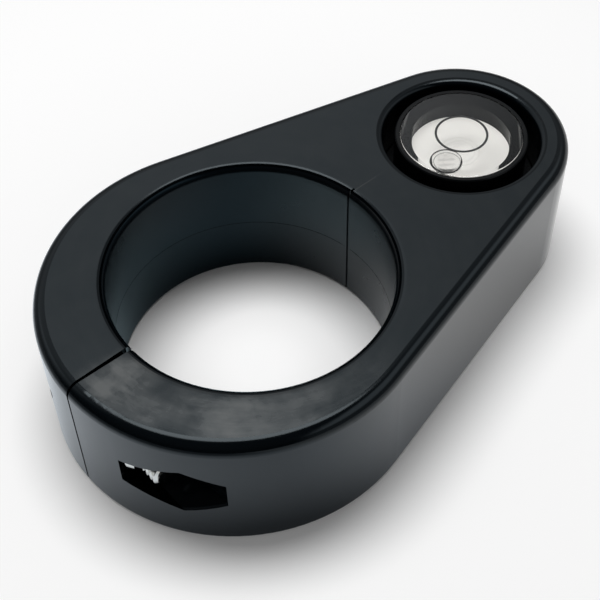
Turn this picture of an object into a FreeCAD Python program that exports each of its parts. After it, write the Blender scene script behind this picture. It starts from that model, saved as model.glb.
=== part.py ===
import FreeCAD, Part
import math
import os
import Sketcher
from FreeCAD import Rotation, Vector

# Bullseye level on a split clamp ring, in millimetres.
# Origin on the pole bore's axis at mid-height, +Z up along the bore, +X towards the vial.

doc = FreeCAD.newDocument("bullseye_level")
sheet = doc.addObject("Spreadsheet::Sheet", "sizes")

DRIVING_SIZES = [
    # the moulded body
    ("pole_bore_radius", 16.0),
    ("body_height", 17.2),
    ("side_wall", 5.8),
    ("ring_shift", 2.6),
    ("web", 7.25),
    ("tail_wall", 3.4),
    ("top_edge_round", 1.5),
    ("foot_edge_round", 0.4),
    ("bore_rim_round", 0.85),
    ("split_gap_inside", 0.6),
    ("split_gap_outside", 0.25),
    ("slit_width", 0.28),
    ("slit_depth", 0.9),
    ("slit_offset", 1.65),
    # the vial and its pocket
    ("pocket_depth", 8.0),
    ("pocket_lip_round", 0.75),
    ("case_radius", 8.0),
    ("case_gap", 1.5),
    ("case_wall", 0.6),
    ("case_floor", 1.0),
    ("case_edge_chamfer", 0.15),
    ("flange_thickness", 1.2),
    ("flange_gap", 0.1),
    ("vial_play", 0.05),
    ("glass_wall", 1.25),
    ("glass_edge_round", 0.12),
    ("lens_thickness", 1.2),
    ("dome_rise", 0.35),
    ("liquid_depth", 3.5),
    ("bubble_radius", 1.95),
    ("bubble_half_height", 0.75),
    ("bubble_film", 0.1),
    ("bubble_offset_back", 3.88),
    ("bubble_offset_front", 1.43),
    ("circle_radius", 3.08),
    ("circle_line", 0.28),
    ("circle_thickness", 0.05),
    # the clamp screw, its washer and its nut
    ("seat_distance", 4.8),
    ("nut_flats", 6.35),
    ("nut_thickness", 2.4),
    ("nut_corner_drop", 0.35),
    ("nut_play", 0.05),
    ("screw_radius", 1.42),
    ("screw_play", 0.05),
    ("screw_hole_play", 0.18),
    ("screw_length", 15.875),
    ("screw_tip_chamfer", 0.35),
    ("head_radius", 2.32),
    ("head_height", 2.84),
    ("head_edge_chamfer", 0.25),
    ("key_flats", 2.38),
    ("key_depth", 1.4),
    ("washer_radius", 3.1),
    ("washer_thickness", 0.8),
    ("washer_play", 0.2),
    ("stack_gap", 0.02),
]
for row, (alias, value) in enumerate(DRIVING_SIZES, start=1):
    sheet.set(f"A{row}", alias)
    sheet.set(f"B{row}", str(value))
    sheet.setAlias(f"B{row}", alias)
doc.recompute()


def size(alias):
    return f"sizes.{alias}"


def value_of(expression):
    return float(sheet.evalExpression(expression))


# Sizes that follow from the driving ones.
HALF_HEIGHT = f"{size('body_height')} / 2"
RING_RADIUS = f"({size('pole_bore_radius')} + {size('side_wall')})"
POCKET_RADIUS = f"({size('case_radius')} + {size('case_gap')})"
TAIL_RADIUS = f"({POCKET_RADIUS} + {size('tail_wall')})"
VIAL_X = f"({size('pole_bore_radius')} + {size('web')} + {POCKET_RADIUS})"
SPLIT_END = f"({RING_RADIUS} + {size('ring_shift')})"
SCREW_X = f"(({size('pole_bore_radius')} + {SPLIT_END}) / 2)"
NUT_POCKET_FLATS = f"({size('nut_flats')} + 2 * {size('nut_play')})"
SCREW_HOLE_RADIUS = f"({size('screw_radius')} + {size('screw_hole_play')})"
HEAD_POCKET_RADIUS = f"({size('washer_radius')} + {size('washer_play')})"
GLASS_RADIUS = f"({size('case_radius')} - {size('case_wall')} - {size('vial_play')})"
CAVITY_RADIUS = f"({GLASS_RADIUS} - {size('glass_wall')})"
BASE_TOP = f"({size('circle_thickness')} + {size('lens_thickness')} + {size('liquid_depth')})"
CASE_INSIDE = f"({size('pocket_depth')} - {size('case_floor')})"


def origin_plane(body, role):
    return next(item for item in body.Origin.OriginFeatures if item.Role == role)


def new_body(label):
    body = doc.addObject("PartDesign::Body", label)
    body.Label = label
    return body


def new_sketch(body, name, role, offset="0"):
    """A sketch on one of the body's own origin planes, moved along that plane's normal."""
    sketch = body.newObject("Sketcher::SketchObject", name)
    sketch.AttachmentSupport = [(origin_plane(body, role), "")]
    sketch.MapMode = "FlatFace"
    if offset != "0":
        sketch.setExpression("AttachmentOffset.Base.z", offset)
    return sketch


def bind(sketch, constraint, expression):
    index = sketch.addConstraint(constraint)
    sketch.setExpression(f"Constraints[{index}]", expression)


def pin_point(sketch, geometry, point, x, y):
    """Holds a point of the sketch at the two expressions, or on an axis where one is zero."""
    for kind, expression, axis in (("DistanceX", x, -2), ("DistanceY", y, -1)):
        if expression == "0":
            sketch.addConstraint(Sketcher.Constraint("PointOnObject", geometry, point, axis))
            continue
        constraint = Sketcher.Constraint(kind, -1, 1, geometry, point, value_of(expression))
        bind(sketch, constraint, expression)


def add_circle(sketch, radius, x="0", y="0"):
    centre = Vector(value_of(x), value_of(y), 0)
    circle = sketch.addGeometry(Part.Circle(centre, Vector(0, 0, 1), value_of(radius)))
    pin_point(sketch, circle, 3, x, y)
    bind(sketch, Sketcher.Constraint("Radius", circle, value_of(radius)), radius)


def add_polygon(sketch, corners):
    """A closed outline of straight lines through corners given as pairs of expressions."""
    points = [Vector(value_of(x), value_of(y), 0) for x, y in corners]
    lines = []
    for start, end in zip(points, points[1:] + points[:1]):
        lines.append(sketch.addGeometry(Part.LineSegment(start, end)))
    for line, following in zip(lines, lines[1:] + lines[:1]):
        sketch.addConstraint(Sketcher.Constraint("Coincident", line, 2, following, 1))
    for line, (x, y) in zip(lines, corners):
        pin_point(sketch, line, 1, x, y)
    return lines


def hexagon(flats, x="0"):
    """Corners of a hexagon whose flats face left and right."""
    half = f"({flats}) / 2"
    side = f"({flats}) / (2 * tan(60))"
    tip = f"({flats}) / (2 * cos(30))"
    return [
        (f"{x} + {half}", f"-({side})"),
        (f"{x} + {half}", side),
        (x, tip),
        (f"{x} - {half}", side),
        (f"{x} - {half}", f"-({side})"),
        (x, f"-({tip})"),
    ]


def pad(body, sketch, name, length):
    feature = body.newObject("PartDesign::Pad", name)
    feature.Profile = sketch
    feature.setExpression("Length", length)
    doc.recompute()
    return feature


def cut(body, sketch, name, length=None, outward=False, both_ways=False):
    """A pocket into the solid, through everything where no length is given."""
    before = body.Shape.Volume
    feature = body.newObject("PartDesign::Pocket", name)
    feature.Profile = sketch
    feature.Reversed = outward
    if both_ways:
        feature.Midplane = True
    if length is None:
        feature.Type = "ThroughAll"
    else:
        feature.setExpression("Length", length)
    doc.recompute()
    if body.Shape.Volume >= before:
        raise RuntimeError(f"{name} cuts nothing")
    return feature


def revolve(body, sketch, name):
    feature = body.newObject("PartDesign::Revolution", name)
    feature.Profile = sketch
    feature.ReferenceAxis = (sketch, ["V_Axis"])
    feature.Angle = 360.0
    doc.recompute()
    return feature


def groove(body, sketch, name):
    before = body.Shape.Volume
    feature = body.newObject("PartDesign::Groove", name)
    feature.Profile = sketch
    feature.ReferenceAxis = (sketch, ["V_Axis"])
    feature.Angle = 360.0
    doc.recompute()
    if body.Shape.Volume >= before:
        raise RuntimeError(f"{name} cuts nothing")
    return feature


def round_edges(body, name, radius, wanted):
    """Rounds those edges of the body's tip that the test picks."""
    base = body.Tip
    names = [f"Edge{i}" for i, edge in enumerate(base.Shape.Edges, start=1) if wanted(edge)]
    if not names:
        raise RuntimeError(f"{name} finds no edge")
    feature = body.newObject("PartDesign::Fillet", name)
    feature.Base = (base, names)
    feature.setExpression("Radius", radius)
    doc.recompute()
    return feature


def lies_at(edge, height):
    return all(abs(vertex.Z - height) < 1e-4 for vertex in edge.Vertexes)


def is_circle(edge, radius, x):
    if edge.Degenerated or not isinstance(edge.Curve, Part.Circle):
        return False
    curve = edge.Curve
    return abs(curve.Radius - radius) < 1e-4 and abs(curve.Center.x - x) < 1e-4


def build_clamp_body():
    body = new_body("clamp_body")
    half = value_of(HALF_HEIGHT)
    add_teardrop(body)
    round_edges(body, "TopEdge", size("top_edge_round"), lambda edge: lies_at(edge, half))
    round_edges(body, "FootEdge", size("foot_edge_round"), lambda edge: lies_at(edge, -half))

    bore = new_sketch(body, "BoreSketch", "XY_Plane")
    add_circle(bore, size("pole_bore_radius"))
    cut(body, bore, "PoleBore", both_ways=True)
    bore_radius = value_of(size("pole_bore_radius"))
    for name, radius, height in (
        ("BoreRim", "bore_rim_round", half),
        ("BoreFoot", "foot_edge_round", -half),
    ):
        round_edges(
            body, name, size(radius),
            lambda edge: is_circle(edge, bore_radius, 0) and lies_at(edge, height))

    pocket = new_sketch(body, "VialPocketSketch", "XY_Plane", HALF_HEIGHT)
    add_circle(pocket, POCKET_RADIUS, x=VIAL_X)
    cut(body, pocket, "VialPocket", size("pocket_depth"))
    pocket_radius, vial_x = value_of(POCKET_RADIUS), value_of(VIAL_X)
    round_edges(
        body, "VialPocketLip", size("pocket_lip_round"),
        lambda edge: is_circle(edge, pocket_radius, vial_x) and lies_at(edge, half))

    add_split(body)
    add_relief_slit(body)
    add_screw_pockets(body)
    return body


def add_teardrop(body):
    """Ring and tail in one outline: two arcs joined by tangent lines."""
    sketch = new_sketch(body, "OutlineSketch", "XY_Plane", f"-{HALF_HEIGHT}")
    ring, tail = value_of(RING_RADIUS), value_of(TAIL_RADIUS)
    ring_x, tail_x = -value_of(size("ring_shift")), value_of(VIAL_X)
    lean = math.acos((ring - tail) / (tail_x - ring_x))
    up = Vector(0, 0, 1)
    ring_circle = Part.Circle(Vector(ring_x, 0, 0), up, ring)
    tail_circle = Part.Circle(Vector(tail_x, 0, 0), up, tail)
    ring_arc = sketch.addGeometry(Part.ArcOfCircle(ring_circle, lean, 2 * math.pi - lean))
    tail_arc = sketch.addGeometry(Part.ArcOfCircle(tail_circle, -lean, lean))

    def touch(x, radius, side):
        return Vector(x + radius * math.cos(lean), side * radius * math.sin(lean), 0)

    left = sketch.addGeometry(Part.LineSegment(touch(tail_x, tail, 1), touch(ring_x, ring, 1)))
    right = sketch.addGeometry(Part.LineSegment(touch(ring_x, ring, -1), touch(tail_x, tail, -1)))
    for first, first_end, second, second_end in (
        (tail_arc, 2, left, 1), (left, 2, ring_arc, 1),
        (ring_arc, 2, right, 1), (right, 2, tail_arc, 1),
    ):
        sketch.addConstraint(
            Sketcher.Constraint("Tangent", first, first_end, second, second_end))
    pin_point(sketch, ring_arc, 3, f"-{size('ring_shift')}", "0")
    pin_point(sketch, tail_arc, 3, VIAL_X, "0")
    bind(sketch, Sketcher.Constraint("Radius", ring_arc, ring), RING_RADIUS)
    bind(sketch, Sketcher.Constraint("Radius", tail_arc, tail), TAIL_RADIUS)
    pad(body, sketch, "Teardrop", size("body_height"))


def add_split(body):
    """The split narrows from the bore to the outer wall, and starts inside the bore."""
    inside = f"{size('split_gap_inside')} / 2"
    outside = f"{size('split_gap_outside')} / 2"
    near = f"-({size('pole_bore_radius')} - {size('bore_rim_round')})"
    far = f"-({SPLIT_END} + {size('top_edge_round')})"
    sketch = new_sketch(body, "SplitSketch", "XY_Plane")
    add_polygon(sketch, [
        (near, inside), (far, outside), (far, f"-{outside}"), (near, f"-{inside}"),
    ])
    cut(body, sketch, "Split", both_ways=True)


def add_relief_slit(body):
    """Shallow slit in the bore wall on the vial's side, a little off the middle."""
    near = f"({size('pole_bore_radius')} - {size('bore_rim_round')})"
    far = f"({size('pole_bore_radius')} + {size('slit_depth')})"
    left = f"{size('slit_offset')} + {size('slit_width')} / 2"
    right = f"{size('slit_offset')} - {size('slit_width')} / 2"
    sketch = new_sketch(body, "SlitSketch", "XY_Plane")
    add_polygon(sketch, [(near, right), (far, right), (far, left), (near, left)])
    cut(body, sketch, "ReliefSlit", both_ways=True)


def add_screw_pockets(body):
    """Screw hole across the split, nut pocket in the front wall, head recess in the back wall."""
    hole = new_sketch(body, "ScrewHoleSketch", "XZ_Plane")
    add_circle(hole, SCREW_HOLE_RADIUS, x=f"-{SCREW_X}")
    cut(body, hole, "ScrewHole", f"2 * {size('seat_distance')}", both_ways=True)

    nut = new_sketch(body, "NutPocketSketch", "XZ_Plane", size("seat_distance"))
    add_polygon(nut, hexagon(NUT_POCKET_FLATS, f"-{SCREW_X}"))
    cut(body, nut, "NutPocket", outward=True)

    head = new_sketch(body, "HeadPocketSketch", "XZ_Plane", f"-{size('seat_distance')}")
    add_circle(head, HEAD_POCKET_RADIUS, x=f"-{SCREW_X}")
    cut(body, head, "HeadPocket")


def build_vial_case():
    """Thin black cup with a foot flange that centres it in the pocket. Local z is 0 at the top."""
    body = new_body("vial_case")
    outer = size("case_radius")
    inner = f"({outer} - {size('case_wall')})"
    flange = f"({POCKET_RADIUS} - {size('flange_gap')})"
    chamfer = size("case_edge_chamfer")
    bottom = f"-{size('pocket_depth')}"
    sketch = new_sketch(body, "CaseSketch", "XZ_Plane")
    add_polygon(sketch, [
        ("0", bottom),
        (flange, bottom),
        (flange, f"{bottom} + {size('flange_thickness')}"),
        (outer, f"{bottom} + {size('flange_thickness')}"),
        (outer, f"-{size('circle_thickness')} - {chamfer}"),
        (f"{outer} - {chamfer}", f"-{size('circle_thickness')}"),
        (inner, f"-{size('circle_thickness')}"),
        (inner, f"-{CASE_INSIDE}"),
        ("0", f"-{CASE_INSIDE}"),
    ])
    revolve(body, sketch, "Case")
    return body


def add_domed_outline(sketch, rim_radius, rim_z, crown_z, rest):
    """A half section whose ceiling is an arc from the axis out to the rim. rest goes on from there."""
    radius, low, high = value_of(rim_radius), value_of(rim_z), value_of(crown_z)
    rise = high - low
    curvature = (radius * radius + rise * rise) / (2 * rise)
    circle = Part.Circle(Vector(0, high - curvature, 0), Vector(0, 0, 1), curvature)
    start = math.atan2(low - high + curvature, radius)
    arc = sketch.addGeometry(Part.ArcOfCircle(circle, start, math.pi / 2))
    points = [Vector(radius, low, 0)] + [Vector(value_of(x), value_of(y), 0) for x, y in rest]
    points.append(Vector(0, high, 0))
    lines = [sketch.addGeometry(Part.LineSegment(a, b)) for a, b in zip(points, points[1:])]
    sketch.addConstraint(Sketcher.Constraint("Coincident", arc, 1, lines[0], 1))
    for line, following in zip(lines, lines[1:]):
        sketch.addConstraint(Sketcher.Constraint("Coincident", line, 2, following, 1))
    sketch.addConstraint(Sketcher.Constraint("Coincident", lines[-1], 2, arc, 2))
    sketch.addConstraint(Sketcher.Constraint("PointOnObject", arc, 3, -2))
    pin_point(sketch, arc, 1, rim_radius, rim_z)
    pin_point(sketch, arc, 2, "0", crown_z)
    for line, (x, y) in zip(lines, rest):
        pin_point(sketch, line, 2, x, y)


def build_vial_glass():
    """Clear cup, open downwards, with a domed ceiling that the bubble rises to."""
    body = new_body("vial_glass")
    top = f"-{size('circle_thickness')}"
    bottom = f"-{CASE_INSIDE}"
    rim = f"({top} - {size('lens_thickness')})"
    sketch = new_sketch(body, "GlassSketch", "XZ_Plane")
    add_domed_outline(sketch, CAVITY_RADIUS, rim, f"({rim} + {size('dome_rise')})", [
        (CAVITY_RADIUS, bottom), (GLASS_RADIUS, bottom), (GLASS_RADIUS, top), ("0", top),
    ])
    revolve(body, sketch, "Glass")
    glass_radius, top_z = value_of(GLASS_RADIUS), value_of(top)
    round_edges(
        body, "GlassTopEdge", size("glass_edge_round"),
        lambda edge: is_circle(edge, glass_radius, 0) and lies_at(edge, top_z))
    return body


def build_vial_base():
    """White disc that closes the clear cup from below."""
    body = new_body("vial_base")
    sketch = new_sketch(body, "BaseSketch", "XY_Plane", f"-{CASE_INSIDE}")
    add_circle(sketch, f"{CAVITY_RADIUS} - {size('vial_play')}")
    pad(body, sketch, "Base", f"{CASE_INSIDE} - {BASE_TOP}")
    return body


def build_vial_liquid():
    """Liquid that fills the cavity, with the air bubble as a flattened hollow at the wall."""
    body = new_body("vial_liquid")
    play = size("vial_play")
    radius = f"({CAVITY_RADIUS} - {play})"
    rim = f"(-{size('circle_thickness')} - {size('lens_thickness')} - {play})"
    crown = f"({rim} + {size('dome_rise')})"
    sketch = new_sketch(body, "LiquidSketch", "XZ_Plane")
    add_domed_outline(sketch, radius, rim, crown, [
        (radius, f"-{BASE_TOP}"), ("0", f"-{BASE_TOP}"),
    ])
    revolve(body, sketch, "Liquid")

    bubble = body.newObject("PartDesign::SubtractiveEllipsoid", "Bubble")
    bubble.setExpression("Radius1", size("bubble_half_height"))
    bubble.setExpression("Radius2", size("bubble_radius"))
    bubble.setExpression("Radius3", size("bubble_radius"))
    bubble.AttachmentSupport = [(origin_plane(body, "XY_Plane"), "")]
    bubble.MapMode = "FlatFace"
    back, front = size("bubble_offset_back"), size("bubble_offset_front")
    drop = f"{size('dome_rise')} * ({back}^2 + {front}^2) / {radius}^2"
    bubble.setExpression("AttachmentOffset.Base.x", f"-{back}")
    bubble.setExpression("AttachmentOffset.Base.y", f"-{front}")
    bubble.setExpression(
        "AttachmentOffset.Base.z",
        f"{crown} - {drop} - {size('bubble_film')} - {size('bubble_half_height')}")
    doc.recompute()
    return body


def build_centre_circle():
    """Printed circle on the vial's top, which the bubble is read against."""
    body = new_body("centre_circle")
    sketch = new_sketch(body, "CircleSketch", "XY_Plane", f"-{size('circle_thickness')}")
    add_circle(sketch, f"{size('circle_radius')} + {size('circle_line')} / 2")
    add_circle(sketch, f"{size('circle_radius')} - {size('circle_line')} / 2")
    pad(body, sketch, "Circle", size("circle_thickness"))
    return body


def build_clamp_nut():
    """Hexagon nut with its corners bevelled at the outer face. Local z is 0 at the seat."""
    body = new_body("clamp_nut")
    sketch = new_sketch(body, "NutSketch", "XY_Plane")
    add_polygon(sketch, hexagon(size("nut_flats")))
    add_circle(sketch, f"{size('screw_radius')} + {size('screw_play')}")
    pad(body, sketch, "Nut", size("nut_thickness"))
    flat = f"{size('nut_flats')} / 2"
    corner = f"{size('nut_flats')} * 0.6"
    top = size("nut_thickness")
    bevel = new_sketch(body, "BevelSketch", "XZ_Plane")
    add_polygon(bevel, [(flat, top), (corner, top), (corner, f"{top} - {size('nut_corner_drop')}")])
    groove(body, bevel, "CornerBevel")
    return body


def build_screw_washer():
    body = new_body("screw_washer")
    sketch = new_sketch(body, "WasherSketch", "XY_Plane")
    add_circle(sketch, size("washer_radius"))
    add_circle(sketch, SCREW_HOLE_RADIUS)
    pad(body, sketch, "Washer", size("washer_thickness"))
    return body


def build_clamp_screw():
    """Socket head screw. Local z is 0 under the head and the head is on the +Z side."""
    body = new_body("clamp_screw")
    shank, head = size("screw_radius"), size("head_radius")
    tip, top = f"-{size('screw_length')}", size("head_height")
    tip_chamfer, head_chamfer = size("screw_tip_chamfer"), size("head_edge_chamfer")
    sketch = new_sketch(body, "ScrewSketch", "XZ_Plane")
    add_polygon(sketch, [
        ("0", tip),
        (f"{shank} - {tip_chamfer}", tip),
        (shank, f"{tip} + {tip_chamfer}"),
        (shank, "0"),
        (head, "0"),
        (head, f"{top} - {head_chamfer}"),
        (f"{head} - {head_chamfer}", top),
        ("0", top),
    ])
    revolve(body, sketch, "Screw")
    key = new_sketch(body, "KeySketch", "XY_Plane", top)
    add_polygon(key, hexagon(size("key_flats")))
    cut(body, key, "KeySocket", size("key_depth"))
    return body


def place(body, x="0", y="0", z="0", turn=None):
    """Puts a finished body where it belongs; turn is an angle about X."""
    if turn is not None:
        body.Placement = FreeCAD.Placement(Vector(), Rotation(Vector(1, 0, 0), turn))
    for axis, expression in (("x", x), ("y", y), ("z", z)):
        if expression != "0":
            body.setExpression(f"Placement.Base.{axis}", expression)


parts = [build_clamp_body()]
for build in (
    build_vial_case, build_vial_glass, build_vial_base, build_vial_liquid, build_centre_circle,
):
    piece = build()
    place(piece, x=VIAL_X, z=HALF_HEIGHT)
    parts.append(piece)

nut = build_clamp_nut()
place(nut, x=f"-{SCREW_X}", y=f"-{size('seat_distance')}", turn=90)
washer = build_screw_washer()
washer_y = f"{size('seat_distance')} + {size('stack_gap')}"
place(washer, x=f"-{SCREW_X}", y=washer_y, turn=-90)
screw = build_clamp_screw()
screw_y = f"{washer_y} + {size('washer_thickness')} + {size('stack_gap')}"
place(screw, x=f"-{SCREW_X}", y=screw_y, turn=-90)
parts += [nut, washer, screw]
doc.recompute()

for item in doc.Objects:
    if "Invalid" in item.State or "Error" in item.State:
        raise RuntimeError(f"{item.Label} failed: {item.State}")
for part in parts:
    shape = part.Shape
    if shape.isNull() or not shape.isValid() or len(shape.Solids) != 1:
        raise RuntimeError(f"{part.Label} is no sound solid")

os.makedirs("parts", exist_ok=True)
for part in parts:
    part.Shape.exportStep(f"parts/{part.Label}.step")
    box = part.Shape.BoundBox
    print(
        f"{part.Label}: {part.Shape.Volume:.2f} mm3,"
        f" x {box.XMin:.2f}..{box.XMax:.2f}, y {box.YMin:.2f}..{box.YMax:.2f},"
        f" z {box.ZMin:.2f}..{box.ZMax:.2f}")
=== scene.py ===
import math

import bmesh
import bpy
from mathutils import Matrix, Vector


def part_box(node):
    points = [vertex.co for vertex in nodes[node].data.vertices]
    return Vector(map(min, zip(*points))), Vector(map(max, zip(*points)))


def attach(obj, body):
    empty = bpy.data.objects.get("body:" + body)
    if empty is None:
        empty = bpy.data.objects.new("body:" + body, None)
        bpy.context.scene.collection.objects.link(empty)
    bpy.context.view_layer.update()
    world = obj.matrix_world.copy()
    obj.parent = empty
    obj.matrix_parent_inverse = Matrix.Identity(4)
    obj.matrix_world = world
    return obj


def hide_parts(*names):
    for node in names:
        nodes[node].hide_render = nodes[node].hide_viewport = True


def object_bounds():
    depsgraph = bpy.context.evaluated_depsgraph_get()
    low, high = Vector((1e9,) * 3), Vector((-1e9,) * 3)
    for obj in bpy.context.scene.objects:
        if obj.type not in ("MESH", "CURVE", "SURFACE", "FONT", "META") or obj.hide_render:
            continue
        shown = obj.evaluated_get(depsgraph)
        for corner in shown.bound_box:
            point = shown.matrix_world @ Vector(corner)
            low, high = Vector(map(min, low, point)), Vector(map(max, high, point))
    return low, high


# Bullseye level on a split clamp ring. Lengths in the dictionaries are in millimetres, everything
# that goes into Blender is in metres, in the CAD's own frame.

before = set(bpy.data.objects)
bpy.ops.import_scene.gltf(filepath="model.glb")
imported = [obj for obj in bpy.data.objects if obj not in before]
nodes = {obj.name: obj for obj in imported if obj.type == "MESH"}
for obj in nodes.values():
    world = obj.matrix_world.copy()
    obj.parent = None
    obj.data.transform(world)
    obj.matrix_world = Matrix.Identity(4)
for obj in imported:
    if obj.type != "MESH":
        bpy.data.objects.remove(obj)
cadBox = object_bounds()
print("frame loaded:", ", ".join(sorted(nodes)))


def mm(value):
    return value * 0.001


def metres(point):
    return tuple(mm(value) for value in point)


def turned(reach, angle, height):
    return reach * math.cos(angle), reach * math.sin(angle), height


def feed(tree, socket, value):
    if isinstance(value, bpy.types.NodeSocket):
        tree.links.new(value, socket)
    else:
        socket.default_value = value


def addNode(tree, kind, inputs=None, **settings):
    node = tree.nodes.new(kind)
    for name, value in settings.items():
        setattr(node, name, value)
    for socket, value in (inputs or {}).items():
        feed(tree, node.inputs[socket], value)
    return node


def newMaterial(name):
    material = bpy.data.materials.new(name)
    material.use_nodes = True
    tree = material.node_tree
    return material, tree, tree.nodes["Principled BSDF"]


def setSockets(tree, shader, values):
    for name, value in values.items():
        feed(tree, shader.inputs[name], value)


def setSurface(tree, shader):
    tree.links.new(shader.outputs[0], tree.nodes["Material Output"].inputs["Surface"])


def objectPlace(tree):
    return addNode(tree, "ShaderNodeTexCoord").outputs["Object"]


def splitVector(tree, vector):
    return addNode(tree, "ShaderNodeSeparateXYZ", {0: vector}).outputs


def joinVector(tree, x, y, z=0.0):
    return addNode(tree, "ShaderNodeCombineXYZ", {0: x, 1: y, 2: z}).outputs[0]


def mathNode(tree, operation, first, second=0.0, clamp=False):
    node = addNode(tree, "ShaderNodeMath", {0: first, 1: second},
                   operation=operation, use_clamp=clamp)
    return node.outputs[0]


def multiply(tree, first, second):
    return mathNode(tree, "MULTIPLY", first, second)


def add(tree, first, second):
    return mathNode(tree, "ADD", first, second)


def absolute(tree, value):
    return mathNode(tree, "ABSOLUTE", value)


def ramp(tree, value, low, high, newLow=0.0, newHigh=1.0, kind="LINEAR"):
    node = addNode(tree, "ShaderNodeMapRange", {
        "Value": value, "From Min": low, "From Max": high, "To Min": newLow, "To Max": newHigh,
    }, interpolation_type=kind)
    return node.outputs["Result"]


def stretch(tree, value, *ends):
    # a ramp with soft ends
    return ramp(tree, value, *ends, kind="SMOOTHSTEP")


def fadeOver(tree, value, start, end, *levels):
    # the same over a length, its start and end in millimetres
    return stretch(tree, value, mm(start), mm(end), *levels)


def blend(tree, factor, first, second):
    return addNode(tree, "ShaderNodeMix", {0: factor, 2: first, 3: second}).outputs[0]


def mixColours(tree, factor, first, second):
    node = addNode(tree, "ShaderNodeMix", data_type="RGBA")
    for name, value in (("Factor_Float", factor), ("A_Color", first), ("B_Color", second)):
        feed(tree, next(s for s in node.inputs if s.identifier == name), value)
    return next(s for s in node.outputs if s.identifier == "Result_Color")


def noise(tree, where, scale, detail=2.0, distortion=0.0, roughness=0.5):
    # its scale is in cells per metre, and most of its values lie between 0.3 and 0.7
    node = addNode(tree, "ShaderNodeTexNoise", {
        "Vector": where, "Scale": scale, "Detail": detail,
        "Distortion": distortion, "Roughness": roughness})
    return node.outputs["Fac"]


def bump(tree, height, distance, below=None, strength=1.0):
    inputs = {"Height": height, "Distance": distance, "Strength": strength}
    if below is not None:
        inputs["Normal"] = below
    return addNode(tree, "ShaderNodeBump", inputs).outputs["Normal"]


def distanceTo(tree, where, centre):
    # how far a point lies from a vertical axis through centre, in metres
    flat = addNode(tree, "ShaderNodeVectorMath", {0: where, 1: (1, 1, 0)}, operation="MULTIPLY")
    apart = addNode(tree, "ShaderNodeVectorMath", {
        0: flat.outputs["Vector"], 1: (mm(centre[0]), mm(centre[1]), 0)}, operation="DISTANCE")
    return apart.outputs["Value"]


def softLine(tree, off, half, level=1.0):
    # full strength up to a third of its half width, then softer
    return fadeOver(tree, absolute(tree, off), half * 0.3, half, level, 0.0)


def alongWay(tree, split, way):
    # how far a point lies in one of the picture's directions
    x, y = way
    return add(tree, multiply(tree, split["X"], x), multiply(tree, split["Y"], y))


def dress(piece, *materials):
    # clearing the slots resets the faces' own choice, so a new piece is left alone
    if piece.data.materials:
        piece.data.materials.clear()
    for material in materials:
        piece.data.materials.append(material)


def link(piece):
    bpy.context.scene.collection.objects.link(piece)


# the camera, where the photographer stood
camera = {
    "place": (-54.528, -74.138, 113.994),
    "aim": (5.814, -1.375, 0.0),
    "roll": -1.311,     # degrees
    "lens": 76.477,
    "sensor": 36.0,
    "clip": (5.0, 20000.0),
}


def setCamera():
    eye = Vector(metres(camera["place"]))
    aim = Vector(metres(camera["aim"]))
    data = bpy.data.cameras.new("camera")
    data.lens = camera["lens"]
    data.sensor_width = camera["sensor"]
    data.clip_start, data.clip_end = metres(camera["clip"])
    piece = bpy.data.objects.new("camera", data)
    link(piece)
    turn = (aim - eye).to_track_quat("-Z", "Y").to_matrix().to_4x4()
    roll = Matrix.Rotation(math.radians(camera["roll"]), 4, "Z")
    piece.matrix_world = Matrix.Translation(eye) @ turn @ roll
    bpy.context.scene.camera = piece


setCamera()
print("camera set")


# floor and light. The picture's two directions on the floor are used again further down
studio = {
    "right": (0.76, -0.65),
    "away": (0.60, 0.80),
    "floorSize": 3000.0,
    "floorGap": 0.02,       # between the object and the floor
    "floorColour": (0.93, 0.93, 0.93, 1.0),
    # the floor's glow, where it is seen: from, to, and the levels there
    "boreGlow": (2.0, 14.0, 0.22, 0.0),
    "nearGlow": (14.0, 34.0, 0.0, 0.15),
    "farGlow": (60.0, 120.0, 0.0, -0.065),      # takes a part of it back
    "horizonGlow": (200.0, 1400.0, 0.0, 0.62),      # for the camera alone
    # what polished faces mirror of it, as they lie from left to right
    "leftGlow": (-24.0, -10.0, 0.11, 0.0),
    "rightGlow": (6.0, 28.0, 0.0, 0.28),
    "nearShare": (-10.0, 10.0, 1.0, 0.84),
    "farShare": (-20.0, 40.0, 0.25, 0.60),
    "farStart": (42.0, 80.0),       # where near becomes far, on all sides
    "boreTint": (0.66, 0.88, 0.97, 1.0),
    "boreTintEnd": (-4.0, 10.0),
    "frontTint": (0.86, 0.92, 0.98, 1.0),
    "frontTintStart": (14.0, 20.0),
    "tintEnd": (10.0, 34.0, 1.0, 0.0),
    # the dim room all round, as it lights the object
    "roomLevel": 0.12,
    "frontLevel": (-0.9, -0.2, 0.30, 0.0),      # extra behind the photographer
    # and as polished faces mirror it: shares of a direction from and to, and the levels there
    "mirrorRight": (-0.05, 0.30, 0.95, 0.52),   # behind the object, and to its right
    "mirrorLow": (0.20, 0.60, 0.22, 1.0),
    "mirrorOverhead": (0.86, 0.96, 1.0, 0.35),
    "mirrorFront": (-0.1, 0.5, 0.04, 1.0),      # behind the photographer, and away
    "mirrorSide": (0.40, 0.56, 0.18, 0.95),     # far to the right, low down and higher up
    "mirrorSideEdge": (0.45, 0.60),
    "mirrorTint": (0.95, 0.99, 1.02, 1.0),
    "backdrop": 0.93,       # what a camera sees past the floor's edge
    "softboxPlace": (100.0, 225.0, 900.0),
    "softboxSize": (430.0, 680.0),
    "softboxTurn": 55.0,    # degrees, of its short side
    "softboxPower": 7.0,
}


def floorSheet():
    half = mm(studio["floorSize"]) / 2
    low = cadBox[0][2] - mm(studio["floorGap"])
    mesh = bpy.data.meshes.new("floor")
    corners = [(-half, -half, low), (half, -half, low), (half, half, low), (-half, half, low)]
    mesh.from_pydata(corners, [], [(0, 1, 2, 3)])
    floor = bpy.data.objects.new("floor", mesh)
    link(floor)
    return floor


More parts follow.
